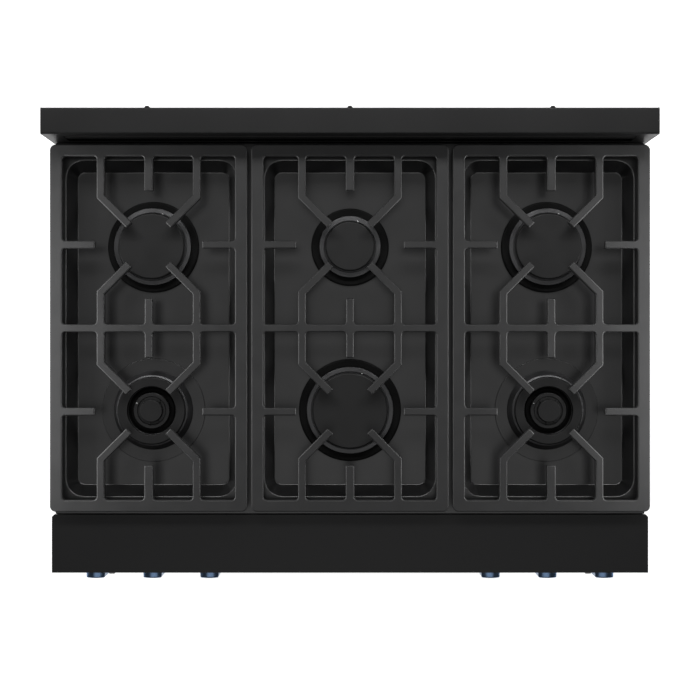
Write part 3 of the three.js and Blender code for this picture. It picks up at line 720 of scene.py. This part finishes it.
def make_single_burner(place):
    base_lo, base_hi = limits(f"burner_head_{place}")
    cap_lo, cap_hi = limits(f"burner_cap_{place}")
    centre = (base_lo + base_hi) / 2
    foot = (centre.x, centre.y, PAN_FLOOR)
    base = (base_hi.x - base_lo.x) / 2
    cap = (cap_hi.x - cap_lo.x) / 2
    head = cap + HEAD_MARGIN[place]

    # The skirt ring is near-black and barely reflecting: partly a black base, partly painted shade for the
    # dark gap round the head.
    skirt = Solid().turned(
        [(head - 3, 0.3, 0), (base, 0.3, 0), (base, 3.4, 1.2), (base - 2.5, 4.4, 0.8),
         (head - 3, 4.4, 0)], foot
    )
    skirt.piece(f"burner_skirt_{place}", BLACK_BASE_AND_PAINTED_SHADE, "root", "cooktop_enamel")

    body = Solid().turned(
        [(12, -THROAT, 0), (17, -THROAT, 0), (17, 0.3, 0), (head - 3.3, 0.3, 0), (head - 3.3, 4.7, 0),
         (head, 4.7, 0.4), (head - 0.4, 12.0, 0.9), (cap + 1.8, 12.6, 0.3), (cap + 1.2, 10.5, 0),
         (cap - 4.5, 10.5, 0), (cap - 4.5, 13.2, 0), (cap - 13, 13.2, 0), (cap - 13, 7, 0),
         (12, 7, 0)], foot
    )
    port_ring(body, centre, cap - 4, 11, CAP_SEAT, round(cap * 0.9))
    body.piece(f"burner_crown_{place}", ALLOY, "root", "burner_alloy", [f"burner_head_{place}"])

    seat = CAP_SEAT + SEAT_GAP
    lid = Solid().turned(
        [(0, seat - 3.8, 0), (cap - 13, seat - 3.8, 0.5), (cap - 13, seat, 0), (cap - 1.2, seat, 0.4),
         (cap, seat + 1.4, 0.5), (cap, seat + 3.2, 0.8), (cap - 2.0, seat + 4.8, 1.2),
         (0, seat + 4.8, 0)], foot
    )
    lid.piece(f"cap_{place}", CAP, f"burner_cap_{place}", "cap_enamel", [f"burner_cap_{place}"])
    reach = cap + 1.4
    x = centre.x + reach * cos(IGNITER_ANGLE)
    y = centre.y + reach * sin(IGNITER_ANGLE)
    make_igniter(place, x, y, 21.5)


RIB_ANGLES = (50, 130, 262, 300)  # the short ribs round a dual burner's inner cap, in degrees


def make_dual_burner(place):
    centre = middle(f"burner_head_{place}")
    foot = (centre.x, centre.y, PAN_FLOOR)
    plate = Solid().turned([(55, 0.3, 0), (79.8, 0.3, 0), (79.8, 2.0, 0.7), (55, 2.0, 0)], foot)
    plate.piece(f"burner_plate_{place}", ENAMEL, "root", "cooktop_enamel")

    crown = Solid().turned(
        [(9, -THROAT, 0), (15, -THROAT, 0), (15, 0.3, 0), (54.5, 0.3, 0), (54.5, 2.2, 0),
         (61.5, 2.2, 0.5), (60.3, 5, 1.5), (54.6, 14.5, 2.5), (50, 16, 0.6), (50, 9, 0), (41, 9, 0),
         (41, 16, 0), (36.3, 16, 0.4), (36.3, 3, 0), (9, 3, 0)], foot
    )
    inner_crown = [(9, 3, 0), (27.4, 3, 0), (27.4, 20.6, 0.8), (21.8, 20.6, 0.6), (21.8, 9, 0), (9, 9, 0)]
    crown.turned(inner_crown, foot, slot=1)
    # The trench between the crowns and the port teeth in it take the near-black finish: painted shade for
    # the dark gap.
    trench = [(27.4, 3, 0), (36.2, 3, 0), (36.2, 14.5, 0), (33, 8, 0), (27.4, 8, 0)]
    crown.turned(trench, foot, slot=2)
    port_ring(crown, centre, 27.8, 9, 17, 24, 2)
    crown.piece(
        f"burner_crown_{place}", [ALLOY, CAP, BLACK_BASE_AND_PAINTED_SHADE], "root", "burner_alloy", [f"burner_head_{place}"]
    )

    ring = Solid().turned(
        [(42, 12.4, 0), (49, 12.4, 0), (49, 16.3, 0), (52.0, 16.3, 0.3), (52.2, 20.4, 1.0),
         (50.4, 22.5, 0.9), (37.4, 22.5, 0.7), (36.6, 16.3, 0), (42, 16.3, 0)], foot
    )
    ring.piece(
        f"ring_cap_{place}", CAP, f"burner_ring_cap_{place}", "cap_enamel", [f"burner_ring_cap_{place}"]
    )

    inner = Solid().turned(
        [(0, 14.4, 0), (19, 14.4, 0), (21.2, 18.5, 0.3), (21.2, 19.4, 0.3), (17.6, 19.4, 0),
         (17.2, 26.4, 0), (16.4, 27.3, 0.5), (0, 27.3, 0)], foot
    )
    for angle in RIB_ANGLES:
        direction = Vector((cos(radians(angle)), sin(radians(angle))))
        rib = stroke([centre.xy + direction * 16, centre.xy + direction * 21], 3.2)
        inner.prism([sharp(rib)], [(PAN_FLOOR + 18.5, 0), (PAN_FLOOR + 23.5, 0.5)])
    inner.piece(
        f"inner_cap_{place}", CAP, f"burner_inner_cap_{place}", "cap_enamel", [f"burner_inner_cap_{place}"]
    )
    make_igniter(place, centre.x - 22.4, centre.y + 11.4, 23.5)


for place in SINGLE_BURNERS:
    make_single_burner(place)
for place in DUAL_BURNERS:
    make_dual_burner(place)

# ---------- backguard ----------

VENT_HALF = 427
FOLD = 2.0
FOLD_EDGE = 0.5
HOOD_LIP = 20  # how far the hood comes down in front
SILL = 32
BACKGUARD_SCREWS = {"left": -299, "middle": 0, "right": 299}


def across(solid, sections, low_x, high_x):
    """Sections in the Y-Z plane run from one X to another."""
    levels = slab(low_x, high_x, FOLD_EDGE, FOLD_EDGE)
    for section in sections:
        solid.prism([section], levels, turn=lambda y, z, x: (x, y, z))


def make_backguard():
    lo, hi = limits("backguard")
    front, rear, top, base = lo.y, hi.y, hi.z, lo.z
    solid = Solid()
    hood = [
        (front, top - HOOD_LIP, 0.8), (front + FOLD, top - HOOD_LIP, 0.8), (front + FOLD, top - FOLD, 1),
        (rear - FOLD, top - FOLD, 1), (rear - FOLD, base, 0), (rear, base, 0), (rear, top, 3),
        (front, top, 3),
    ]
    blade = [
        (front + 1, top - 47, 0.8), (front + 3, top - 48, 0.8), (front + 10, top - 32, 0.8),
        (front + 8.5, top - 29, 0.8), (front + 0.5, top - 33, 1.5),
    ]
    sill = [
        (front, base, 0), (front + FOLD, base, 0), (front + FOLD, base + SILL, 0.8),
        (front, base + SILL, 0.8),
    ]
    duct = [
        (front + 1, base, 0), (rear - 1, base, 0), (rear - 1, base + FOLD, 0), (front + 1, base + FOLD, 0),
    ]
    across(solid, [hood, sill], lo.x, hi.x)
    across(solid, [duct], lo.x + 1, hi.x - 1)
    across(solid, [blade], -VENT_HALF - 2, VENT_HALF + 2)
    for side in (1, -1):
        outer_x = side * (hi.x - 0.2)
        cheek = [
            (front + 0.1, base, 0), (rear - 0.1, base, 0), (rear - 0.1, top - 0.1, 0),
            (front + 0.1, top - 0.1, 0),
        ]
        across(solid, [cheek], *sorted((side * (hi.x - FOLD), outer_x)))
        face = [
            (front + 0.1, base + 1, 0), (front + FOLD, base + 1, 0), (front + FOLD, top - 1, 0),
            (front + 0.1, top - 1, 0),
        ]
        across(solid, [face], *sorted((side * VENT_HALF, outer_x)))
    solid.piece("vented_backguard", STEEL, "root", "black_steel", ["backguard"])
    head = [(0, 0, 0), (3.8, 0, 0), (3.8, 1.6, 0.6), (2.2, 3.0, 1.2), (0, 3.0, 0)]
    for name, x in BACKGUARD_SCREWS.items():
        screw = Solid().turned(head, (x, rear - 0.1, top - 5), "y", steps=24)
        screw.piece(f"backguard_screw_{name}", HANDLE, "root", "black_steel")


make_backguard()

# ---------- controls ----------

PANEL_FACE = limits("control_panel")[0].y
KNOB_Z = middle("valve_stem_1").z
KNOB_RADIUS = 25.0
KNOB_FLAT = 15.0
KNOB_FRONT = 38.6
KNOB_STEPS = 14  # straight pieces along each round side of the grip
KNOB_ROUNDING = 2.6
SKIRT_RADIUS = 28.0
DIAL_RADIUS = 30.0
MARK_SWEEP = 270  # degrees from the first printed tick to the last
MARK_START = 225
MARK_WIDTH = 0.9


def knob_outline(radius, flat):
    """A circle with two upright flats."""
    edge = atan2((radius**2 - flat**2) ** 0.5, flat)
    upper = [edge + (pi - 2 * edge) * i / KNOB_STEPS for i in range(KNOB_STEPS + 1)]
    angles = upper + [pi + a for a in upper]
    return [(radius * cos(a), radius * sin(a), 0) for a in angles]


def on_panel(x):
    """Turns a plan point and a height into a place in front of the control panel."""
    return lambda u, v, h: (x + u, PANEL_FACE - h, KNOB_Z + v)


def dial_marks(name, x, radius, ticks):
    """Printed ticks round a knob, longer towards high."""
    marks = Solid()
    for i in range(ticks):
        angle = radians(MARK_START - MARK_SWEEP * i / (ticks - 1))
        direction = Vector((cos(angle), sin(angle)))
        length = 2.0 + 2.5 * i / (ticks - 1)
        tick = stroke([direction * radius, direction * (radius + length)], MARK_WIDTH)
        marks.prism([sharp(tick)], [(0.02, 0), (0.22, 0)], turn=on_panel(x))
    marks.piece(name, MARKING, "root", "black_steel")


def bezel(name, x, inner, outer, height):
    """A slim raised ring on the panel round a knob."""
    ring = Solid().turned(
        [(inner, 0.05, 0), (outer, 0.05, 0), (outer - 0.5, height, 0.8), (inner, height, 0.5)],
        (x, PANEL_FACE, KNOB_Z), "y",
    )
    for vertex in ring.vertices:
        vertex.y = 2 * PANEL_FACE - vertex.y
    ring.piece(name, HANDLE, "root", "black_steel")


def make_knob(number):
    x = middle(f"valve_stem_{number}").x
    knob = Solid()
    skirt = [(5.0, 0.8), (5.8, 0.0), (10.6, 0.0), (11.8, 0.6), (12.5, 1.8)]
    knob.prism([sharp(circle(SKIRT_RADIUS, count=96))], skirt, turn=on_panel(x))
    front = [(h, inset + 0.8) for h, inset in rounded_edge(KNOB_ROUNDING, KNOB_FRONT)]
    grip = [(11.5, 0.0), (30.0, 0.6)] + front
    knob.prism([knob_outline(KNOB_RADIUS, KNOB_FLAT)], grip, turn=on_panel(x))
    pointer = rectangle(0.9, 6.5, 0.4, (0, 13.5))
    knob.prism([pointer], [(KNOB_FRONT - 0.5, 0), (KNOB_FRONT + 0.15, 0.1)], turn=on_panel(x), slot=1)
    knob.piece(
        f"knob_{number}_turned", [BLUE, MARKING], f"knob_{number}", "blue_anodised",
        [f"burner_knob_{number}"],
    )
    bezel(f"knob_bezel_{number}", x, 29.4, 32.6, 3.6)
    dial_marks(f"knob_marks_{number}", x, 34.5, 9)


def make_oven_dial():
    dial = Solid()
    skirt = [(4.0, 0.8), (4.8, 0.0), (10.4, 0.0), (11.4, 0.6), (12.0, 1.6)]
    dial.prism([sharp(circle(DIAL_RADIUS, count=96))], skirt, turn=on_panel(0))
    flutes = gear(20, 19.1, 30, 0.55)
    dial.prism([flutes], [(11.0, 0), (17.5, 0.2), (18.8, 0.9), (19.5, 2.2)], turn=on_panel(0))
    dial.prism([rectangle(0.9, 5, 0.4, (0, 11))], [(19.0, 0), (19.65, 0.1)], turn=on_panel(0), slot=1)
    dial.piece("oven_dial_turned", [BLUE, MARKING], "oven_control", "blue_anodised", ["oven_dial"])
    bezel("oven_dial_bezel", 0, 31.2, 34.4, 3.0)
    dial_marks("oven_dial_marks", 0, 36.4, 13)


def make_light_button():
    x = middle("light_button").x
    button = Solid()
    plunger = [(-8, 0), (4.6, 0), (5.5, 0.4), (6.0, 1.4)]
    button.prism([sharp(circle(8, count=48))], plunger, turn=on_panel(x))
    button.prism([sharp(circle(2.2, count=24))], [(5.5, 0), (6.2, 0.3)], turn=on_panel(x), slot=1)
    button.piece(
        "light_push_button", [HANDLE, MARKING], "light_switch", "black_steel", ["light_button"]
    )
    bezel("light_button_bezel", x, 8.9, 11.4, 2.4)


for number in range(1, 7):
    make_knob(number)
make_oven_dial()
make_light_button()

# ---------- door ----------

WINDOW = (260, 110)  # half width and half height of the opening in the door
WINDOW_Z = 480
BORDER = (26, 22)  # how far the printed border comes into the opening, across and upright
INNER_PANE = (292, 142)
EMBOSS_OUTER = (430, 262)
EMBOSS_INNER = (418, 250)


def facing_front(y):
    """Turns a plan point and a height into a place in front of the plane at Y, round the window."""
    return lambda u, v, h: (u, y - h, WINDOW_Z + v)


def facing_rear(y):
    """The same behind the plane at Y, seen from behind."""
    return lambda u, v, h: (-u, y + h, WINDOW_Z + v)


def rounded_frame(outer, inner, radius):
    """A rectangular frame: its outline and its opening."""
    opening = rectangle(*inner, max(radius - (outer[0] - inner[0]), 2))[::-1]
    return [rectangle(*outer, radius), opening]


def make_door():
    face = limits("door_shell")[0].y
    lo, hi = limits("door_window")
    half_x, half_z = (hi.x - lo.x) / 2, (hi.z - lo.z) / 2
    glass = Solid()
    glass.prism(
        [rectangle(half_x, half_z, 4)], slab(-(hi.y - lo.y), 0, 0.6, 0.6), turn=facing_front(lo.y)
    )
    glass.piece("door_glass", GLASS, "door", "window_glass", ["door_window"])

    border = Solid()
    clear = (WINDOW[0] - BORDER[0], WINDOW[1] - BORDER[1])
    frame_plan = rounded_frame((hi.x - 1, half_z - 1), clear, 30)
    border.prism(frame_plan, [(-0.5, 0), (-0.2, 0)], turn=facing_front(hi.y))
    border.piece("door_glass_border", BLACK_PRINT, "door", "window_glass")

    trim = Solid()
    ring = rounded_frame((WINDOW[0] + 7, WINDOW[1] + 7), (WINDOW[0] - 1, WINDOW[1] - 1), 9)
    trim.prism(ring, [(-1.5, 0), (1.2, 0), (2.0, 0.4), (2.4, 1.4)], turn=facing_front(face))
    trim.piece("door_window_trim", HANDLE, "door", "handle_steel")

    inner_lo, inner_hi = limits("door_inner_panel")
    pane = Solid()
    pane.prism([rectangle(*INNER_PANE, 6)], slab(0.2, 4.2, 0.5, 0.5), turn=facing_front(inner_lo.y))
    pane.piece("door_inner_glass", GLASS, "door", "window_glass")

    emboss = Solid()
    raised = rounded_frame(EMBOSS_OUTER, EMBOSS_INNER, 24)
    ridge = [(-1.5, 0), (0.8, 0.3), (1.4, 1.4), (1.6, 3.0)]
    emboss.prism(raised, ridge, turn=facing_rear(inner_hi.y))
    emboss.piece("door_inner_emboss", OVEN, "door", "oven_enamel")


def make_handle():
    lo, hi = limits("door_handle_bar")
    centre = (lo + hi) / 2
    radius = (hi.z - lo.z) / 2
    half = (hi.x - lo.x) / 2
    bar = Solid().turned(
        [(0, -half, 0), (radius, -half, 2.5), (radius, half, 2.5), (0, half, 0)], centre, "x", steps=64
    )
    bar.piece("handle_bar", HANDLE, "door", "handle_steel", ["door_handle_bar"])
    for name, side in SIDES.items():
        node = f"handle_bracket_{name}"
        low, high = limits(node)
        x = (low.x + high.x) / 2
        bracket = Solid().turned(
            [(radius + 0.3, -4.5, 0.4), (15.8, -4.5, 1.2), (15.8, 4.5, 1.2), (radius + 0.3, 4.5, 0.4)],
            (x, centre.y, centre.z), "x", steps=64,
        )
        length = high.y - centre.y
        bracket.turned(
            [(0, 13.2, 0), (7.6, 13.2, 0), (7.2, 20, 6), (8.4, length - 4, 2), (12, length - 0.4, 0.6),
             (12, length, 0), (0, length, 0)], (x, centre.y, centre.z), "y", steps=48,
        )
        bracket.piece(f"handle_post_{name}", HANDLE, "door", "handle_steel", [node])


make_door()
make_handle()

# ---------- oven ----------


def rounded_route(points, radius):
    """A route through the points with round bends."""
    points = [Vector(p) for p in points]
    route = [points[0]]
    for before, corner, after in zip(points, points[1:], points[2:]):
        back = (before - corner).normalized()
        ahead = (after - corner).normalized()
        start, end = corner + back * radius, corner + ahead * radius
        for i in range(QUARTER_STEPS + 1):
            t = i / QUARTER_STEPS
            route.append(start * (1 - t) ** 2 + corner * 2 * t * (1 - t) + end * t**2)
    return route + [points[-1]]


RACK_RIM = 6.0
RACK_WIRE = 4.0
RACK_WIRES = 13
RACK_CROSS_BARS = (-94, 86)  # the two bars under the wires, from the rack's middle
CROSS_BAR_RADIUS = 2.4
BURNER_FLANGE_Y = 284  # rear face of the collar on an oven burner's tube
SEAL_HALF = 402  # the door gasket's half width
SEAL_Z = (232, 704)
SEAL_RADIUS = 1.7
TUBE_BEND = 22


def make_rack(name):
    lo, hi = limits(name)
    rim = RACK_RIM / 2
    low_x, high_x, low_y, high_y = lo.x + rim, hi.x - rim, lo.y + rim, hi.y - rim
    z = lo.z + rim + 0.2
    solid = Solid()
    corners = [
        (0, high_y, z), (high_x, high_y, z), (high_x, low_y, z), (low_x, low_y, z), (low_x, high_y, z),
        (-0.1, high_y, z),
    ]
    solid.tube(rounded_route(corners, 16), rim)
    wire_z = z + rim - RACK_WIRE / 2
    for i in range(1, RACK_WIRES + 1):
        x = lo.x + (hi.x - lo.x) * i / (RACK_WIRES + 1)
        solid.tube([(x, low_y, wire_z), (x, high_y, wire_z)], RACK_WIRE / 2, 12)
    for offset in RACK_CROSS_BARS:
        y = (lo.y + hi.y) / 2 + offset
        solid.tube([(low_x, y, z - 0.8), (high_x, y, z - 0.8)], CROSS_BAR_RADIUS, 12)
    solid.piece(f"{name}_wires", CHROME, name, "chrome_wire", [name])


def make_oven_burner(node, feed_x, turn_y, end_y):
    """A U of tube from the oven's rear wall."""
    lo, hi = limits(node)
    radius = (hi.z - lo.z) / 2
    z = (lo.z + hi.z) / 2
    left, right = lo.x + radius, hi.x - radius
    front = lo.y + radius
    route = [
        (feed_x, hi.y, z), (feed_x, turn_y, z), (left, turn_y, z), (left, front, z), (right, front, z),
        (right, end_y, z),
    ]
    solid = Solid().tube(rounded_route(route, TUBE_BEND), radius - 0.3, 20)
    collar = [(0, -6, 0), (radius + 2, -6, 1), (radius + 2, 0, 1), (0, 0, 0)]
    solid.turned(collar, (feed_x, BURNER_FLANGE_Y, z), "y", 32)
    solid.piece(f"{node}_tube", ZINC, "root", "galvanised_steel", [node])


def make_gasket():
    """The woven seal round the oven's mouth."""
    y = limits("door_inner_panel")[1].y + 1.9
    x = SEAL_HALF
    low, high = SEAL_Z
    corners = [(0, y, low), (x, y, low), (x, y, high), (-x, y, high), (-x, y, low), (-0.1, y, low)]
    gasket = Solid().tube(rounded_route(corners, TUBE_BEND), SEAL_RADIUS, 12)
    gasket.piece("oven_door_gasket", GASKET, "root", "oven_enamel")


make_rack("rack_lower")
make_rack("rack_upper")
make_oven_burner("bake_burner", feed_x=0, turn_y=200, end_y=190)
make_oven_burner("broil_burner", feed_x=60, turn_y=180, end_y=150)
make_gasket()

# ---------- legs and fasteners ----------

NUT_RADIUS = 20.4
NUT_HEIGHT = (26, 40)
SCREW_INSET = 14  # a screw's middle from its panel's edge
PAN_HEAD = [
    (0, 0, 0), (4.2, 0, 0), (4.2, 1.2, 0.5), (2.6, 2.6, 1.2), (1.1, 2.6, 0), (1.1, 1.6, 0), (0, 1.6, 0),
]


def make_leg(row, side):
    node = f"leg_{row}_{side}"
    lo, hi = limits(node)
    centre = (lo + hi) / 2
    foot = (centre.x, centre.y, lo.z)
    height = hi.z - lo.z
    leg = Solid().turned(
        [(0, 0, 0), (20.5, 0, 0.8), (22, 2.5, 1.0), (22, 9, 2.0), (17, 13.5, 1.5), (17, 99.7, 0.8),
         (5, 99.7, 0), (5, height, 0.6), (0, height, 0)], foot, steps=64,
    )
    nut = sharp(circle(NUT_RADIUS, centre.xy, 6, radians(30)))
    leg.prism([nut], slab(*NUT_HEIGHT, 0.8, 0.8))
    leg.piece(f"levelling_leg_{row}_{side}", LEG, node, "leg_steel", [node])


def screw_row(name, places, axis, direction):
    """Pan-head screws: a group of separate heads on one panel."""
    heads = Solid()
    index = "xyz".index(axis)
    for place in places:
        start = len(heads.vertices)
        heads.turned(PAN_HEAD, place, axis, steps=24)
        for vertex in heads.vertices[start:]:
            vertex[index] = place[index] + direction * (vertex[index] - place[index])
    heads.piece(name, ZINC, "root", "galvanised_steel")


for row in ("front", "rear"):
    for side in SIDES:
        make_leg(row, side)

back_lo, back_hi = limits("rear_panel")
back_x = back_hi.x - SCREW_INSET
screw_row(
    "rear_panel_screws",
    [(side * back_x, back_hi.y, z) for side in (1, -1) for z in (230, 400, 570, 740, 860)]
    + [(x, back_hi.y, back_lo.z + SCREW_INSET) for x in (-225, 0, 225)],
    "y", 1,
)
for side_name, side in SIDES.items():
    side_lo, side_hi = limits(f"side_panel_{side_name}")
    face_x = side_hi.x if side > 0 else side_lo.x
    rows = [(face_x, side_hi.y - SCREW_INSET, z) for z in (150, 390, 630, 860)]
    screw_row(f"side_panel_screws_{side_name}", rows, "x", side)

# ---------- CAD pieces that keep their shape ----------

KEPT = {
    STEEL: [
        "side_panel_left", "side_panel_right", "toe_kick", "landing_ledge", "control_panel", "door_shell",
    ],
    ZINC: [
        "base_frame", "rear_panel", "gas_manifold", "pressure_regulator", "door_hinge_left",
        "door_hinge_right",
    ],
    OVEN: ["oven_cavity", "oven_floor", "door_inner_panel"],
    BRASS: [f"valve_stem_{number}" for number in range(1, 7)],
}
KEPT_EDGE = 0.5


def keep(node, material):
    """A CAD piece with its own procedural finish and slightly rounded edges."""
    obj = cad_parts[node]
    for holder in obj.material_slots:
        holder.material = material
    weld = obj.modifiers.new("joined corners", "WELD")
    weld.merge_threshold = 1e-5
    edges = obj.modifiers.new("rounded edges", "BEVEL")
    edges.width = KEPT_EDGE * MM
    edges.segments = 2
    edges.limit_method = "ANGLE"
    edges.angle_limit = radians(40)
    edges.harden_normals = True


for kept_material, kept_nodes in KEPT.items():
    for kept_node in kept_nodes:
        keep(kept_node, kept_material)

# ---------- stage and light ----------


FLOOR_REACH = 40.0


def make_floor():
    """A pale floor with a glow of its own, which makes it white close to the range."""
    mesh = bpy.data.meshes.new("floor")
    corners = [(x, y, 0) for x, y, _ in rectangle(FLOOR_REACH, FLOOR_REACH)]
    mesh.from_pydata(corners, [], [(0, 1, 2, 3)])
    material = bpy.data.materials.new("floor")
    material.use_nodes = True
    surface = material.node_tree.nodes["Principled BSDF"]
    surface.inputs["Base Color"].default_value = (0.9, 0.9, 0.9, 1)
    surface.inputs["Emission Color"].default_value = (1, 1, 1, 1)
    surface.inputs["Emission Strength"].default_value = 0.8
    mesh.materials.append(material)
    floor = bpy.data.objects.new("floor", mesh)
    bpy.context.scene.collection.objects.link(floor)


def softbox(name, place, target, size, radiance, only=()):
    """An area light that the camera doesn't see. It may light some pieces only."""
    data = bpy.data.lights.new(name, "AREA")
    data.shape = "RECTANGLE"
    data.size, data.size_y = size
    data.energy = radiance * pi * size[0] * size[1]
    light = bpy.data.objects.new(name, data)
    light.location = place
    light.rotation_mode = "QUATERNION"
    light.rotation_quaternion = (Vector(target) - Vector(place)).to_track_quat("-Z", "Y")
    light.visible_camera = False
    bpy.context.scene.collection.objects.link(light)
    if only:
        lit = bpy.data.collections.new(f"{name}_lights")
        for piece in only:
            lit.objects.link(piece)
        light.light_linking.receiver_collection = lit


WORLD_LIGHT = 0.04


def make_world():
    """White behind everything, and a dim even light from all round."""
    world = bpy.data.worlds.new("studio")
    world.use_nodes = True
    nodes, links = world.node_tree.nodes, world.node_tree.links
    background = nodes["Background"]
    background.inputs["Color"].default_value = (1, 1, 1, 1)
    seen = nodes.new("ShaderNodeLightPath").outputs["Is Camera Ray"]
    strength = nodes.new("ShaderNodeMapRange")
    strength.inputs["To Min"].default_value = WORLD_LIGHT
    strength.inputs["To Max"].default_value = 1.0
    links.new(seen, strength.inputs["Value"])
    links.new(strength.outputs["Result"], background.inputs["Strength"])
    bpy.context.scene.world = world


make_floor()
make_world()
softbox("ceiling", (0, 0.0, 4.6), (0, 0.0, 0), (2.8, 2.2), 0.55)
softbox("front_ceiling", (0, -1.6, 4.2), (0, 0.0, 0.9), (3.0, 1.4), 0.95)
softbox("rear_strip", (0, 1.7, 2.8), (0, 0.0, 0.95), (3.4, 0.5), 12.2)

# The shoulder lights reach only the cooktop, and the grate strips only the grates. On the other pieces
# they would be too bright.
pressing = [bpy.data.objects["cooktop_pressing"]]
grates = [bpy.data.objects[f"cast_grate_{column}"] for column in COLUMNS]
softbox("front_shoulder", (0, -2.3, 2.9), (0, 0.0, 0.9), (1.6, 0.5), 6.0, pressing)
for side in (1, -1):
    softbox(f"shoulder_{side}", (side * 2.3, 0.2, 2.9), (0, 0.2, 0.9), (1.6, 0.5), 7.0, pressing)
    softbox(f"low_strip_{side}", (side * 0.78, 0.04, 1.05), (0, 0.04, 0.94), (0.62, 0.16), 6.0)
    softbox(f"grate_strip_{side}", (side * 0.6, 0.0, 1.08), (0, 0.0, 0.94), (0.56, 0.36), 4.9, grates)
    softbox(f"side_wall_{side}", (side * 3.2, 0.0, 1.0), (0, 0.0, 0.9), (2.8, 0.9), 2.5)

scene = bpy.context.scene
scene.view_settings.view_transform = "Standard"
scene.view_settings.look = "None"
